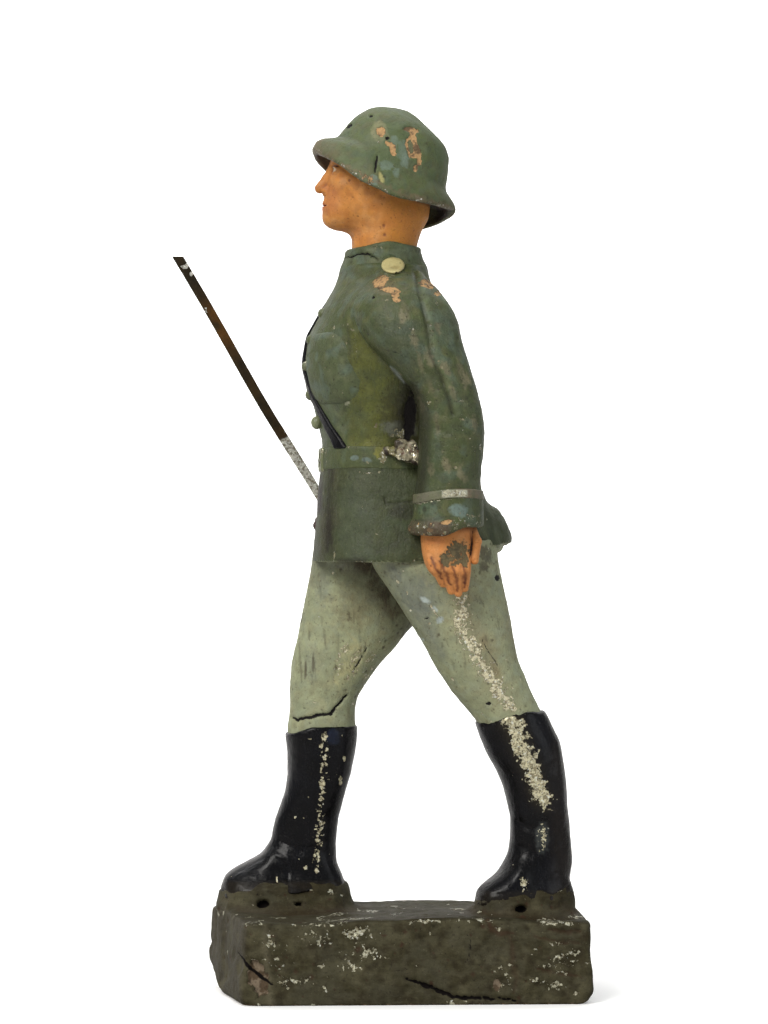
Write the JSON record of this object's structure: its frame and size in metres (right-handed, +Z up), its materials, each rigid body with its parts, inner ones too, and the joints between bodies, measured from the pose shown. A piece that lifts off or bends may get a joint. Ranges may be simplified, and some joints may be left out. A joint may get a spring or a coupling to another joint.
{
  "type": "toy soldier figure",
  "caption": "Hand-painted composition figure of a marching officer in steel helmet with a drawn sabre, standing on an oblong ground block.",
  "frame": {"origin": "centre of the ground block's flat underside", "axes": "+Z up; the figure marches towards -X; its left side faces -Y and its right side +Y"},
  "size_m": [0.0351, 0.0232, 0.077],
  "materials": {
    "ground_paint": "worn olive-brown paint over composition",
    "boot_black": "glossy black paint, rubbed",
    "breeches_paint": "grey-green paint, speckled",
    "tunic_paint": "field green paint, slight sheen",
    "helmet_paint": "green paint with chips to pink primer",
    "flesh_paint": "orange flesh paint",
    "braid_silver": "silver bronze paint, mostly worn",
    "button_cream": "cream paint",
    "strap_black": "glossy black paint",
    "hilt_paint": "dark brown-black paint",
    "tin_blade": "browned tinplate strip",
    "armature_iron": "drawn iron wire, rusted"
  },
  "bodies": {
    "figure": {"plinth": "ground_paint", "boot_right_front": "boot_black", "boot_left_rear": "boot_black", "breeches_leg_right": "breeches_paint", "breeches_leg_left": "breeches_paint", "tunic_skirt": "tunic_paint", "tunic_body": "tunic_paint", "collar": "tunic_paint", "head": "flesh_paint", "helmet": "helmet_paint", "sleeve_left": "tunic_paint", "cuff_left": "tunic_paint", "cuff_braid_left": "braid_silver", "hand_left": "flesh_paint", "sleeve_right": "tunic_paint", "cuff_right": "tunic_paint", "cuff_braid_right": "braid_silver", "fist_right": "flesh_paint", "sabre_hilt": "hilt_paint", "waist_belt": "tunic_paint", "belt_buckle": "braid_silver", "sabre_hanger": "braid_silver", "cross_strap": "strap_black", "breast_pocket_left": "tunic_paint", "breast_pocket_right": "tunic_paint", "tunic_buttons": "braid_silver", "shoulder_board_left": "tunic_paint", "shoulder_board_right": "tunic_paint", "shoulder_board_buttons": "button_cream", "leg_wire_right": "armature_iron", "leg_wire_left": "armature_iron", "neck_wire": "armature_iron", "arm_wire_left": "armature_iron", "arm_wire_right": "armature_iron"},
    "sabre": {"sabre_blade": "tin_blade"}
  },
  "joints": [
    {"name": "sabre_draw", "type": "slide", "parent": "figure", "child": "sabre", "axis": [-0.5039, 0, 0.8638], "range_m": [0, 0.012]}
  ]
}
